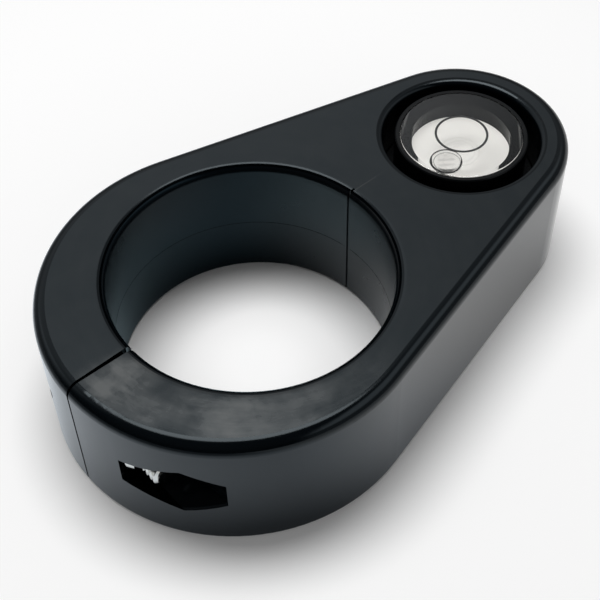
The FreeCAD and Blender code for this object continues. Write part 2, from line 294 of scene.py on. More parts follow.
def layFloor():
    floor = floorSheet()
    material, tree, shader = newMaterial("floorWhite")
    tree.nodes.remove(shader)
    path = addNode(tree, "ShaderNodeLightPath").outputs
    mirrored = path["Is Glossy Ray"]
    where = objectPlace(tree)
    reach = distanceTo(tree, where, (0, 0))
    right = alongWay(tree, splitVector(tree, where), studio["right"])

    level = add(tree, fadeOver(tree, reach, *studio["boreGlow"]),
                fadeOver(tree, reach, *studio["nearGlow"]))
    level = add(tree, level, fadeOver(tree, reach, *studio["farGlow"]))
    side = add(tree, fadeOver(tree, right, *studio["rightGlow"]),
               fadeOver(tree, right, *studio["leftGlow"]))
    level = add(tree, level, multiply(tree, side, mirrored))
    # polished faces mirror a floor that is darker a little way off
    kept = blend(tree, fadeOver(tree, reach, *studio["farStart"]),
                 fadeOver(tree, right, *studio["nearShare"]),
                 fadeOver(tree, right, *studio["farShare"]))
    kept = blend(tree, mirrored, 1.0, kept)
    horizon = multiply(tree, fadeOver(tree, reach, *studio["horizonGlow"]), path["Is Camera Ray"])
    level = add(tree, multiply(tree, level, kept), horizon)

    # and a cooler one, except on its right
    plain = studio["floorColour"]
    inside = fadeOver(tree, right, *studio["boreTintEnd"])
    inside = mixColours(tree, inside, studio["boreTint"], plain)
    tint = mixColours(tree, fadeOver(tree, reach, *studio["frontTintStart"]), inside,
                      studio["frontTint"])
    tinted = multiply(tree, mirrored, fadeOver(tree, right, *studio["tintEnd"]))
    tint = mixColours(tree, tinted, plain, tint)
    paper = mixColours(tree, kept, (0, 0, 0, 1), tint)
    paper = addNode(tree, "ShaderNodeBsdfDiffuse", {"Color": paper})

    # the glow only shows, it lights nothing
    seen = add(tree, path["Is Camera Ray"], mirrored)
    seen = mathNode(tree, "ADD", seen, path["Is Transmission Ray"], clamp=True)
    strength = multiply(tree, multiply(tree, seen, level), 1 / plain[0])
    glow = addNode(tree, "ShaderNodeEmission", {"Color": tint, "Strength": strength})
    setSurface(tree, addNode(tree, "ShaderNodeAddShader", {
        0: paper.outputs[0], 1: glow.outputs[0]}))
    dress(floor, material)


def lightRoom():
    world = bpy.data.worlds.new("room")
    bpy.context.scene.world = world
    world.use_nodes = True
    tree = world.node_tree
    tree.nodes.clear()
    path = addNode(tree, "ShaderNodeLightPath").outputs
    mirrored = path["Is Glossy Ray"]
    split = splitVector(tree, addNode(tree, "ShaderNodeTexCoord").outputs["Generated"])
    right, away = (alongWay(tree, split, studio[way]) for way in ("right", "away"))
    lit = add(tree, stretch(tree, away, *studio["frontLevel"]), studio["roomLevel"])
    back = multiply(tree, stretch(tree, right, *studio["mirrorRight"]),
                    stretch(tree, split["Z"], *studio["mirrorLow"]))
    back = multiply(tree, back, stretch(tree, split["Z"], *studio["mirrorOverhead"]))
    back = multiply(tree, back, stretch(tree, away, *studio["mirrorFront"]))
    side = multiply(tree, stretch(tree, split["Z"], *studio["mirrorSide"]),
                    stretch(tree, right, *studio["mirrorSideEdge"]))
    level = blend(tree, mirrored, lit, mathNode(tree, "MAXIMUM", back, side))
    level = blend(tree, path["Is Camera Ray"], level, studio["backdrop"])
    tint = mixColours(tree, mirrored, (1, 1, 1, 1), studio["mirrorTint"])
    shade = addNode(tree, "ShaderNodeBackground", {"Color": tint, "Strength": level})
    out = addNode(tree, "ShaderNodeOutputWorld")
    tree.links.new(shade.outputs[0], out.inputs["Surface"])


def hangSoftbox():
    lamp = bpy.data.lights.new("softbox", "AREA")
    lamp.shape = "ELLIPSE"
    lamp.size, lamp.size_y = metres(studio["softboxSize"])
    lamp.energy = studio["softboxPower"]
    piece = bpy.data.objects.new("softbox", lamp)
    link(piece)
    piece.location = metres(studio["softboxPlace"])
    piece.rotation_euler = (0, 0, math.radians(studio["softboxTurn"]))


layFloor()
lightRoom()
hangSoftbox()
bpy.context.scene.view_settings.view_transform = "Standard"
print("floor and light set")


# the black moulding
moulding = {
    "ring": (-2.6, 21.8),   # middle and radius of the outline's two ends
    "tail": (32.75, 12.9),
    "boreRadius": 16.0,
    "boreEdge": (0.3, 0.6, 1.0, 0.0),   # how far outside its wall the bore's finish ends
    "topSlope": (0.9985, 0.9999),       # upward part of the normal where the top face starts
    "roundingSlope": (0.45, 0.75),      # and where its rounded edge does
    "ior": 1.39,
    "colour": (0.0012, 0.0021, 0.0030, 1.0),
    "shineTint": (0.80, 0.93, 1.0, 1.0),
    "boreShineShade": ((0.26, 0.42, 0.52, 1.0), (1.0, 1.0, 1.0, 1.0)),   # its wall's shine, left and right; the dimmer left is painted shade
    "boreShineShadeSpan": (-4.0, 12.0),
    "borePaintedLight": (0.033, 0.043, 0.049, 1.0),     # painted light on its right side, for the bright floor that side mirrors
    "borePaintedLightSpan": (2.0, 14.0),
    "borePaintedLightTop": (6.9, 7.6, 1.0, 0.0),
    "lampShare": 0.42,      # of the shine left where the rounded edges leave the top face
    "lampSlope": (0.90, 0.95),
    "pocketShadeShare": 0.17,    # and inside the pockets, painted shade that darkens their walls
    "pocketPlace": (-0.3, 7.8, 0.9),    # from the outline, below this height, and from the bore
    "rim": (16.85, 0.35, 0.15),     # the bore's edge sinks a little early: radius, reach, slope
    "lip": (10.25, 0.75, 0.30),     # the vial pocket's is flatter
    "lipShine": (10.24, 0.5476),    # inside this radius, share of the shine left
    "wallRoughness": 0.12,
    "boreRoughness": 0.30,
    "wallSpread": (220.0, 0.9, 1.1),    # scale of its unevenness, least and most
    "roundingRoughness": 0.16,
    "topRoughness": (0.19, 0.38),   # clean, and dulled by hands
    "partingHeight": -0.85,
    "draft": 0.028,         # slope of the bore's wall away from its parting line
    "grainSize": 0.30,
    "grainDepth": 0.0022,
    "flowSize": 16.0,       # slow waviness of the moulded faces
    "flowDepth": 0.035,
}


def mouldingPlace(tree):
    # what the finish of a point depends on
    where = objectPlace(tree)
    split = splitVector(tree, where)
    reach = distanceTo(tree, where, (0, 0))
    normal = addNode(tree, "ShaderNodeNewGeometry").outputs["Normal"]
    upward = splitVector(tree, normal)["Z"]
    start, end, *levels = moulding["boreEdge"]
    radius = moulding["boreRadius"]
    return {
        "where": where, "split": split, "reach": reach, "upward": upward,
        "right": alongWay(tree, split, studio["right"]),
        "fromVial": distanceTo(tree, where, (moulding["tail"][0], 0)),
        "inBore": fadeOver(tree, reach, radius + start, radius + end, *levels),
        "top": stretch(tree, upward, *moulding["topSlope"]),
        "rounding": stretch(tree, upward, *moulding["roundingSlope"]),
    }


def outlineDepth(tree, split):
    # signed distance to the outline in plan, in metres, negative inside it
    middle, large = moulding["ring"]
    length, small = moulding["tail"][0] - middle, moulding["tail"][1]
    lean = (large - small) / length
    rise = math.sqrt(1 - lean * lean)
    along = add(tree, split["X"], -mm(middle))
    side = absolute(tree, split["Y"])
    band = add(tree, multiply(tree, along, rise), multiply(tree, side, -lean))
    ends = []
    for start, radius in ((0.0, large), (length, small)):
        flat = joinVector(tree, side, add(tree, along, -mm(start)))
        reach = addNode(tree, "ShaderNodeVectorMath", {0: flat}, operation="LENGTH")
        ends.append(add(tree, reach.outputs["Value"], -mm(radius)))
    flank = add(tree, multiply(tree, side, rise), multiply(tree, along, lean))
    flank = add(tree, flank, -mm(large))
    nearTail = mathNode(tree, "GREATER_THAN", band, mm(rise * length))
    nearRing = mathNode(tree, "LESS_THAN", band, 0.0)
    return blend(tree, nearRing, blend(tree, nearTail, flank, ends[1]), ends[0])


def mouldingShine(tree, at):
    # painted shade: the bore wall's reflection is dimmed towards its left side
    dark, light = moulding["boreShineShade"]
    bore = mixColours(tree, fadeOver(tree, at["right"], *moulding["boreShineShadeSpan"]), dark, light)
    tint = mixColours(tree, at["inBore"], moulding["shineTint"], bore)
    share = stretch(tree, at["upward"], *moulding["lampSlope"], 1.0, moulding["lampShare"])
    share = blend(tree, at["top"], share, 1.0)
    # a pocket's wall lies inside the outline, below the top face and outside the bore
    inside, height, off = moulding["pocketPlace"]
    pocket = mathNode(tree, "LESS_THAN", outlineDepth(tree, at["split"]), mm(inside))
    low = mathNode(tree, "LESS_THAN", absolute(tree, at["split"]["Z"]), mm(height))
    out = mathNode(tree, "GREATER_THAN", at["reach"], mm(moulding["boreRadius"] + off))
    pocket = multiply(tree, multiply(tree, pocket, low), out)
    # painted shade: the pockets' walls keep only a small share of their reflection
    share = blend(tree, pocket, share, moulding["pocketShadeShare"])
    radius, lipShare = moulding["lipShine"]
    onLip = mathNode(tree, "LESS_THAN", at["fromVial"], mm(radius))
    share = multiply(tree, share, blend(tree, onLip, 1.0, lipShare))
    return mixColours(tree, share, (0, 0, 0, 1), tint)


# haze on the top face, thickest beside the split
hazeMarks = {
    "colour": (0.075, 0.073, 0.070, 1.0),
    # places with x, y, reach and strength
    "worn": ((-21.0, -3.0, 4.8, 1.25), (-17.6, -2.8, 4.0, 0.9), (-19.9, -7.8, 3.2, 0.75),
             (-16.8, -9.6, 3.6, 0.45), (-14.2, -13.8, 6.0, 1.1), (-9.0, -17.5, 7.0, 0.45),
             (-3.0, -18.6, 9.0, 0.25)),
    "elsewhere": 0.05,
    "core": 0.1,            # share of a place's reach that has its full strength
    "cloudSize": 3.5,
    "cloudNoise": (4.0, 0.3, 0.58),     # detail, distortion and roughness
    "cloudTones": (0.22, 0.78),
    "cloudShare": 0.8,
    "smearSize": 1.6,       # wipe marks that run round the ring
    "smearTurn": 0.0035,    # metres for each radian, so that they are long
    "smearNoise": (3.0, 0.3, 0.6),
    "smearTones": (0.30, 0.75),
    "smearShare": 0.5,
    "weldLine": (16.2, 23.0, 1.46, 0.13),       # from, to, y and half width
    "weldEnds": (0.3, 1.0),     # over which it comes, and before which it stays whole
    "weldShare": 0.22,
}


def weldLine(tree, at):
    # the faint line on top where the melt met, from the relief slit outwards
    start, end, y, half = hazeMarks["weldLine"]
    rise, whole = hazeMarks["weldEnds"]
    across = softLine(tree, add(tree, at["split"]["Y"], -mm(y)), half)
    along = multiply(tree, fadeOver(tree, at["split"]["X"], start, start + rise),
                     fadeOver(tree, at["split"]["X"], start + whole, end, 1.0, 0.0))
    return multiply(tree, multiply(tree, across, along), at["top"])


def mouldingHaze(tree, at):
    worn = hazeMarks["elsewhere"]
    for x, y, reach, strength in hazeMarks["worn"]:
        near = distanceTo(tree, at["where"], (x, y))
        near = fadeOver(tree, near, reach * hazeMarks["core"], reach, strength, 0.0)
        worn = add(tree, worn, near)
    clouds = noise(tree, at["where"], 1000 / hazeMarks["cloudSize"], *hazeMarks["cloudNoise"])
    clouds = stretch(tree, clouds, *hazeMarks["cloudTones"])
    turn = mathNode(tree, "ARCTAN2", at["split"]["Y"], at["split"]["X"])
    ring = joinVector(tree, at["reach"], multiply(tree, turn, hazeMarks["smearTurn"]))
    smears = noise(tree, ring, 1000 / hazeMarks["smearSize"], *hazeMarks["smearNoise"])
    smears = stretch(tree, smears, *hazeMarks["smearTones"])
    haze = add(tree, multiply(tree, clouds, hazeMarks["cloudShare"]),
               multiply(tree, smears, hazeMarks["smearShare"]))
    haze = multiply(tree, multiply(tree, haze, worn), at["top"])
    return add(tree, haze, multiply(tree, weldLine(tree, at), hazeMarks["weldShare"]))


def mouldingColour(tree, at, haze):
    # painted light: a lighter colour on the bore's right side, below its top edge, stands in for
    # the floor it mirrors
    paintedLight = multiply(tree, at["inBore"], fadeOver(tree, at["right"], *moulding["borePaintedLightSpan"]))
    paintedLight = multiply(tree, paintedLight, fadeOver(tree, at["split"]["Z"], *moulding["borePaintedLightTop"]))
    colour = mixColours(tree, haze, moulding["colour"], hazeMarks["colour"])
    return mixColours(tree, paintedLight, colour, moulding["borePaintedLight"])


def mouldingRoughness(tree, at, haze):
    wall = blend(tree, at["inBore"], moulding["wallRoughness"], moulding["boreRoughness"])
    scale, least, most = moulding["wallSpread"]
    uneven = ramp(tree, noise(tree, at["where"], scale), 0.3, 0.7, least, most)
    wall = multiply(tree, wall, uneven)
    wall = blend(tree, at["rounding"], wall, moulding["roundingRoughness"])
    return blend(tree, at["top"], wall, ramp(tree, haze, 0.0, 1.0, *moulding["topRoughness"]))


def mouldingSurface(tree, at):
    # the bore narrows from both ends to its parting line
    level = absolute(tree, add(tree, at["split"]["Z"], -mm(moulding["partingHeight"])))
    lean = multiply(tree, multiply(tree, level, at["inBore"]), -moulding["draft"])
    surface = bump(tree, lean, 1.0)
    # the rim and the lip, on the upper side only
    upperHalf = mathNode(tree, "GREATER_THAN", at["split"]["Z"], 0.0)
    radius, width, slope = moulding["rim"]
    past = mathNode(tree, "SUBTRACT", mm(radius + width), at["reach"])
    start = ramp(tree, past, 0.0, mm(width))
    fall = add(tree, multiply(tree, multiply(tree, start, start), -mm(slope * width / 2)),
               ramp(tree, past, mm(width), mm(2 * width), 0.0, -mm(slope * width)))
    surface = bump(tree, fall, 1.0, surface, upperHalf)
    radius, width, slope = moulding["lip"]
    start = ramp(tree, mathNode(tree, "SUBTRACT", mm(radius), at["fromVial"]), 0.0, mm(width))
    fall = multiply(tree, multiply(tree, start, start), mm(slope * width))
    surface = bump(tree, fall, 1.0, surface, upperHalf)
    flow = noise(tree, at["where"], 1000 / moulding["flowSize"], 1.0)
    surface = bump(tree, flow, mm(moulding["flowDepth"]), surface)
    grain = noise(tree, at["where"], 1000 / moulding["grainSize"])
    return bump(tree, grain, mm(moulding["grainDepth"]), surface)


def finishMoulding():
    material, tree, shader = newMaterial("blackMoulding")
    at = mouldingPlace(tree)
    haze = mouldingHaze(tree, at)
    setSockets(tree, shader, {
        "Base Color": mouldingColour(tree, at, haze),
        "Roughness": mouldingRoughness(tree, at, haze),
        "Normal": mouldingSurface(tree, at),
        "Specular Tint": mouldingShine(tree, at),
        "IOR": moulding["ior"],
    })
    dress(nodes["clamp_body"], material)


# the vial's black case
vialCase = {
    "colour": (0.0015, 0.0018, 0.0022, 1.0),
    "roughness": (0.22, 0.30),
    "ior": 1.45,
    "shine": 0.17,
    "markScale": 600.0,
    "grainScale": 3500.0,
    "grainDepth": 0.002,
}


def finishCase():
    material, tree, shader = newMaterial("blackCase")
    where = objectPlace(tree)
    marks = noise(tree, where, vialCase["markScale"], 3.0)
    grain = noise(tree, where, vialCase["grainScale"])
    setSockets(tree, shader, {
        "Base Color": vialCase["colour"],
        "Roughness": ramp(tree, marks, 0.3, 0.7, *vialCase["roughness"]),
        "IOR": vialCase["ior"],
        "Specular IOR Level": vialCase["shine"],
        "Normal": bump(tree, grain, mm(vialCase["grainDepth"])),
    })
    dress(nodes["vial_case"], material)


finishMoulding()
finishCase()
print("moulding and case finished")


def meshPiece(name, points, faces, sharpAngle=32.0):
    mesh = bpy.data.meshes.new(name)
    mesh.from_pydata(points, [], faces)
    mesh.update()
    mesh.shade_smooth()
    mesh.set_sharp_from_angle(angle=math.radians(sharpAngle))
    piece = bpy.data.objects.new(name, mesh)
    link(piece)
    return piece


def turnedPiece(name, rows, columns=96, closed=False, skins=None):
    # rows of (radius, height) from the underside outwards and up; either may depend on the angle.
    # skins gives the material of each band between two rows
    points, rings, faces = [], [], []
    for radius, height in rows:
        if radius == 0:
            rings.append([len(points)])
            points.append((0, 0, mm(height)))
            continue
        rings.append(list(range(len(points), len(points) + columns)))
        for step in range(columns):
            angle = math.tau * step / columns
            reach = radius(angle) if callable(radius) else radius
            rise = height(angle) if callable(height) else height
            points.append(metres(turned(reach, angle, rise)))
    pairs = list(zip(rings, rings[1:]))
    if closed:
        pairs.append((rings[-1], rings[0]))
    for lower, upper in pairs:
        for step in range(columns):
            following = (step + 1) % columns
            if len(lower) == 1:
                faces.append((lower[0], upper[following], upper[step]))
            elif len(upper) == 1:
                faces.append((lower[step], lower[following], upper[0]))
            else:
                faces.append((lower[step], lower[following], upper[following], upper[step]))
    piece = meshPiece(name, points, faces)
    if skins:
        for face, polygon in enumerate(piece.data.polygons):
            polygon.material_index = skins[face // columns]
    return piece


def roundCorner(radius, height, size, startTurn, steps=5):
    # a quarter round of rows about the centre (radius, height)
    rows = []
    for step in range(steps + 1):
        turn = math.radians(startTurn + 90.0 * step / steps)
        rows.append((radius + size * math.cos(turn), height + size * math.sin(turn)))
    return rows


def centreOf(node):
    low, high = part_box(node)
    return (low + high) / 2


def boxOf(node):
    # in millimetres
    return (corner * 1000 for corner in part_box(node))


def settle(piece, node, body="holder"):
    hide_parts(node)
    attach(piece, body)


# the vial
vial = {
    "clearIor": 1.44,
    "wallRatio": 1.075,     # of the clear plastic's index to the liquid's
    "clearTint": (0.996, 0.993, 0.990, 1.0),
    "shine": 0.25,
    "lampTint": (0.998, 0.993, 0.994, 1.0),     # what each clear surface lets through to the base
    "rippleScale": 260.0,
    "rippleDepth": 0.004,
    "wall": 1.25,
    "ceilingRim": 1.2,      # below the top face, at the cavity's edge
    "domeRise": 0.35,
    "cavityCorner": 0.35,
    "topEdge": 0.12,
    "columns": 160,
    "play": 0.05,           # between the liquid and the cavity's wall
    "baseGap": 0.02,        # and above the base
    "liquidTint": (0.996, 0.993, 0.988, 1.0),
}


def domeRows(radius, rimHeight, crownHeight, steps=14):
    rise = crownHeight - rimHeight
    curve = (radius * radius + rise * rise) / (2 * rise)
    rows = [(0, crownHeight)]
    for step in range(1, steps + 1):
        out = radius * step / steps
        rows.append((out, crownHeight - curve + math.sqrt(curve * curve - out * out)))
    return rows


def cavityCeiling(cavity, rim):
    # from the crown outwards, down to the start of the cavity's wall
    corner = vial["cavityCorner"]
    rows = domeRows(cavity - corner, rim, rim + vial["domeRise"])
    return rows + roundCorner(cavity - corner, rim - corner, corner, 0.0)[::-1][1:]


def clearMaterial(name, ior, tint, shine=vial["shine"]):
    material, tree, shader = newMaterial(name)
    ripple = noise(tree, objectPlace(tree), vial["rippleScale"], 1.0)
    setSockets(tree, shader, {
        "Base Color": tint,
        "Transmission Weight": 1.0,
        "Roughness": 0.0,
        "IOR": ior,
        "Specular IOR Level": shine,
        "Normal": bump(tree, ripple, mm(vial["rippleDepth"])),
    })
    path = addNode(tree, "ShaderNodeLightPath").outputs
    straight = mathNode(tree, "MAXIMUM", path["Is Shadow Ray"], path["Is Diffuse Ray"])
    through = addNode(tree, "ShaderNodeBsdfTransparent", {"Color": vial["lampTint"]})
    setSurface(tree, addNode(tree, "ShaderNodeMixShader", {
        0: straight, 1: shader.outputs[0], 2: through.outputs[0]}))
    return material


# the dark glue between the clear cup's side and the case
bond = {
    "colours": ((0.0008, 0.0010, 0.0012, 1.0), (0.0065, 0.0075, 0.0080, 1.0)),
    "streakScale": 160.0,
    "streakLength": 5.0,    # how much wider than high they are
    "streakTones": (0.35, 0.70),
    "flatAngles": (0.82, 0.94),     # where it starts to mirror the white base
    "mirrorColour": (0.95, 0.95, 0.94, 1.0),
    "roughness": (0.9, 0.05),
}


def blackBond():
    material, tree, shader = newMaterial("blackBond")
    split = splitVector(tree, objectPlace(tree))
    height = multiply(tree, split["Z"], bond["streakLength"])
    stretched = joinVector(tree, split["X"], split["Y"], height)
    streaks = noise(tree, stretched, bond["streakScale"], 3.0)
    streaks = stretch(tree, streaks, *bond["streakTones"])
    shade = mixColours(tree, streaks, *bond["colours"])
    facing = addNode(tree, "ShaderNodeLayerWeight", {"Blend": 0.5}).outputs["Facing"]
    flat = stretch(tree, facing, *bond["flatAngles"])
    setSockets(tree, shader, {
        "Base Color": mixColours(tree, flat, shade, bond["mirrorColour"]),
        "Metallic": flat,
        "Roughness": ramp(tree, flat, 0.0, 0.5, *bond["roughness"]),
        "Specular IOR Level": 0.0,
    })
    return material


def plainLiquid():
    # index matched to its surroundings, so only its tint shows
    material, tree, shader = newMaterial("spirit")
    tree.nodes.remove(shader)
    setSurface(tree, addNode(tree, "ShaderNodeBsdfTransparent", {"Color": vial["liquidTint"]}))
    return material


def vialSizes():
    # its outer and its cavity's radius, its underside and its top
    low, high = boxOf("vial_glass")
    outer = (high.x - low.x) / 2
    return outer, outer - vial["wall"], low.z, high.z


def buildVialGlass():
    outer, cavity, bottom, top = vialSizes()
    edge = vial["topEdge"]
    rows = cavityCeiling(cavity, top - vial["ceilingRim"]) + [(cavity, bottom)]
    skins = [1] * (len(rows) - 1)
    rows.append((outer, bottom))
    shoulder = roundCorner(outer - edge, top - edge, edge, 0.0)
    rows += shoulder + [(0, top)]
    skins += [2, 2] + [0] * len(shoulder)
    piece = turnedPiece("vialGlass", rows, vial["columns"], skins=skins)
    piece.location = (centreOf("vial_glass").x, 0, 0)
    tint = vial["clearTint"]
    dress(piece, clearMaterial("clearPlastic", vial["clearIor"], tint),
          clearMaterial("cavityWall", vial["wallRatio"], tint), blackBond())
    settle(piece, "vial_glass")


def buildVialLiquid():
    _, cavity, _, top = vialSizes()
    play, bottom = vial["play"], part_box("vial_base")[1].z * 1000 + vial["baseGap"]
    rows = [(0, bottom), (cavity - play, bottom)]
    rows += cavityCeiling(cavity - play, top - vial["ceilingRim"] - play)[::-1]
    piece = turnedPiece("vialLiquid", rows, vial["columns"])
    addBubble(piece, top)
    piece.location = (centreOf("vial_glass").x, 0, 0)
    dress(piece, plainLiquid(), bubbleWall(top))
    settle(piece, "vial_liquid")


# the air bubble
bubble = {
    "at": (-3.88, -1.43, -1.90),    # from the middle of the top face
    "radius": 1.98,
    "halfHeight": 0.74,
    "squareness": 2.5,      # of its lower half
    "waist": 0.15,          # where it is widest, as a share of its half height
    "crease": 28.0,         # degrees, where it leaves the ceiling
    "crown": 0.74,          # its flat middle, as a share of its radius
    "steps": 20,
    "columns": 96,
    "sharpAngle": 24.0,     # degrees, keeps the crease
    "ior": 1.37,
    "shine": 0.08,
    "ring": (-0.28, -0.38, 1.58, 0.10),     # the painted dark inner line: place, radius and half width
    "ringShade": 0.75,
    "streaks": (-0.07, -0.95),      # painted faint dark bars across it, how far from its middle
    "streakShade": (0.06, 0.34, 0.27, 0.0),
    "streakLength": (0.7, 1.2, 1.0, 0.0),
    "shade": (0.1, 0.1, 0.1, 1.0),
}


def bubbleWall(top):
    white = (1.0, 1.0, 1.0, 1.0)
    material = clearMaterial("bubbleWall", bubble["ior"], white, bubble["shine"])
    tree = material.node_tree
    x, y, z = bubble["at"]
    where = objectPlace(tree)
    split = splitVector(tree, where)
    # painted shade: a dark ring and faint bars darken the light through the bubble's upper wall,
    # drawing lines its refraction shows
    shiftX, shiftY, radius, half = bubble["ring"]
    off = add(tree, distanceTo(tree, where, (x + shiftX, y + shiftY)), -mm(radius))
    dark = softLine(tree, off, half, bubble["ringShade"])

    def fromMiddle(way, shift=0.0):
        middle = x * studio[way][0] + y * studio[way][1] + shift
        return absolute(tree, add(tree, alongWay(tree, split, studio[way]), -mm(middle)))

    length = fadeOver(tree, fromMiddle("right"), *bubble["streakLength"])
    for shift in bubble["streaks"]:
        streak = fadeOver(tree, fromMiddle("away", shift), *bubble["streakShade"])
        dark = add(tree, dark, multiply(tree, streak, length))
    dark = multiply(tree, dark, mathNode(tree, "GREATER_THAN", split["Z"], mm(top + z)))
    setSockets(tree, tree.nodes["Principled BSDF"], {
        "Base Color": mixColours(tree, dark, white, bubble["shade"])})
    return material


def bubbleRows():
    radius, half, steps = bubble["radius"], bubble["halfHeight"], bubble["steps"]
    waist, start, crown = bubble["waist"] * half, math.radians(bubble["crease"]), bubble["crown"]
    rows = [(0, half)]
    for step in range(steps + 1):
        turn = start + (math.pi / 2 - start) * step / steps
        rows.append((radius * (crown + (1 - crown) * math.sin(turn)),
                     waist + (half - waist) * math.cos(turn) / math.cos(start)))
    power = 2.0 / bubble["squareness"]
    for step in range(1, steps):
        turn = math.pi / 2 * step / steps
        rows.append((radius * math.cos(turn) ** power,
                     waist - (half + waist) * math.sin(turn) ** power))
    return rows + [(0, -half)]


def addBubble(liquid, top):
    # a flattened hollow, its rows running downwards so that its faces look into the air
    x, y, z = bubble["at"]
    hollow = turnedPiece("bubble", bubbleRows(), bubble["columns"])
    offset = len(liquid.data.vertices)
    outside = len(liquid.data.polygons)
    points = [vertex.co.copy() for vertex in liquid.data.vertices]
    shift = Vector(metres((x, y, top + z)))
    points += [vertex.co + shift for vertex in hollow.data.vertices]
    faces = [tuple(face.vertices) for face in liquid.data.polygons]
    faces += [tuple(offset + corner for corner in face.vertices) for face in hollow.data.polygons]
    bpy.data.objects.remove(hollow)
    joined = meshPiece("liquid", points, faces, bubble["sharpAngle"])
    # only its upper half bends the light
    upper = bubble["columns"] * (bubble["steps"] + 1)
    for polygon in joined.data.polygons[outside:outside + upper]:
        polygon.material_index = 1
    liquid.data = joined.data
    bpy.data.objects.remove(joined)


# the white base and the printed circle
base = {
    "colour": (0.925, 0.932, 0.905, 1.0),
    "dimShare": 0.95,
    "cloudScale": 260.0,
    "roughness": 0.5,
    "grainScale": 3000.0,
    "grainDepth": 0.004,
    "marks": (1.80, 2.35),      # radii of two faint darker rings on it, sunk a little
    "markWidth": (0.02, 0.13, 1.0, 0.0),
    "markDepth": 0.02,
    "markColour": (0.55, 0.56, 0.52, 1.0),
    "markShare": 0.16,
}
ink = {
    "colours": ((0.003, 0.003, 0.003, 1.0), (0.008, 0.008, 0.008, 1.0)),
    "grainScale": 3000.0,
    "roughness": 0.45,
}


def finishBase():
    material, tree, shader = newMaterial("whiteBase")
    where = objectPlace(tree)
    clouds = stretch(tree, noise(tree, where, base["cloudScale"], 3.0), 0.3, 0.7)
    dim = tuple(base["dimShare"] * part for part in base["colour"][:3]) + (1.0,)
    colour = mixColours(tree, clouds, base["colour"], dim)
    middle = centreOf("vial_base") * 1000
    reach = distanceTo(tree, where, (middle.x, middle.y))
    surface = bump(tree, noise(tree, where, base["grainScale"]), mm(base["grainDepth"]))
    for mark in base["marks"]:
        line = fadeOver(tree, absolute(tree, add(tree, reach, -mm(mark))), *base["markWidth"])
        shade = multiply(tree, line, base["markShare"])
        colour = mixColours(tree, shade, colour, base["markColour"])
        surface = bump(tree, line, -mm(base["markDepth"]), surface)
    setSockets(tree, shader, {
        "Base Color": colour, "Roughness": base["roughness"], "Normal": surface})
    dress(nodes["vial_base"], material)


def finishInk():
    material, tree, shader = newMaterial("blackInk")
    density = noise(tree, objectPlace(tree), ink["grainScale"])
    colour = mixColours(tree, density, *ink["colours"])
    setSockets(tree, shader, {"Base Color": colour, "Roughness": ink["roughness"]})
    dress(nodes["centre_circle"], material)


buildVialGlass()
buildVialLiquid()
finishBase()
finishInk()
print("vial built")


# screw, washer and nut
fastener = {
    "colours": ((0.58, 0.57, 0.54, 1.0), (0.72, 0.71, 0.68, 1.0)),
    "roughness": (0.05, 0.13),
    "stainScale": 900.0,
    "grainScale": 7000.0,
    "grainDepth": 0.002,
    "columns": 72,
    "seatGap": 0.02,        # between the head and the washer
    "pitch": 0.635,
    "crestRadius": 1.42,
    "rootRadius": 1.03,
    # shares of a turn where the crest starts and ends, and the root
    "threadShape": (0.0, 0.125, 0.4375, 0.6875),
    "runout": (1.2, 1.6),   # length of the thread's end under the head, and its steepness
    "tipChamfer": 0.35,
    "knurlDepth": 0.07,
    "knurlEnds": (0.22, 0.42),      # from the head's underside and from its top
    "headChamfers": (0.08, 0.22, 0.30),     # underside, top across and top down
    "keyFlats": 2.38,
    "keyChamfer": 0.10,
    "keyDepth": (1.4, 0.3),         # of its sides, and of the cone that the drill left
    "nutBore": 1.47,
    "nutSink": (0.3, 0.15),         # at its foot and at its end
    "nutFlank": 1.1,        # height of its six sides
    "nutCone": (2.75, 1.95),        # its locking cone, at the foot and at the end
    "nutEdges": (0.04, 0.06, 0.5),  # small chamfers of the cone, and the fall of its shoulder
    "washerBore": 1.6,
    "washerEdge": 0.12,
}


def finishSteel():
    material, tree, shader = newMaterial("platedSteel")
    where = objectPlace(tree)
    stain = noise(tree, where, fastener["stainScale"], 4.0, 0.5)
    grain = noise(tree, where, fastener["grainScale"])
    setSockets(tree, shader, {
        "Base Color": mixColours(tree, stain, *fastener["colours"]),
        "Metallic": 1.0,
        "Roughness": stretch(tree, stain, 0.3, 0.7, *fastener["roughness"]),
        "Normal": bump(tree, grain, mm(fastener["grainDepth"])),
    })
    return material


def hexReach(flats):
    # distance from the middle to a hexagon's side, its flats facing left and right
    def reach(angle):
        off = (angle + math.pi / 6) % (math.pi / 3) - math.pi / 6
        return flats / 2 / math.cos(off)
    return reach


def addThread(points, faces, length):
    # its rows follow the helix, four to a turn
    columns, pitch, shape = fastener["columns"], fastener["pitch"], fastener["threadShape"]
    crest, root = fastener["crestRadius"], fastener["rootRadius"]
    runout, steepness = fastener["runout"]
    tip = crest - fastener["tipChamfer"]
    count = (math.ceil(length / pitch) + 2) * len(shape)
    for row in range(count):
        turn, part = divmod(row, len(shape))
        for step in range(columns):
            height = -length + pitch * (turn - 1 + shape[part] + step / columns)
            reach = crest if part < 2 else root
            if height > -runout:
                reach = max(reach, root + (crest - root) * (height + runout) / runout * steepness)
            reach = min(reach, crest, tip + height + length)
            if height <= -length:
                height, reach = -length, tip
            if height >= 0:
                height, reach = 0.0, crest
            points.append(turned(reach, math.tau * step / columns, height))
    for row in range(count - 1):
        low, high = row * columns, (row + 1) * columns
        for step in range(columns - 1):
            faces.append((low + step, low + step + 1, high + step + 1, high + step))
        if row + 1 + len(shape) < count:
            # a turn's last column meets the first one of the next turn
            low, high = (place + len(shape) * columns for place in (low, high))
            faces.append(((row + 1) * columns - 1, low, high, (row + 2) * columns - 1))
    # the flat end of its tip
    centre = len(points)
    points.append((0, 0, -length))
    for step in range(columns):
        near = len(points)
        for place in (step, step + 1):
            points.append(turned(tip, math.tau * place / columns, -length))
        faces.append((centre, near + 1, near))


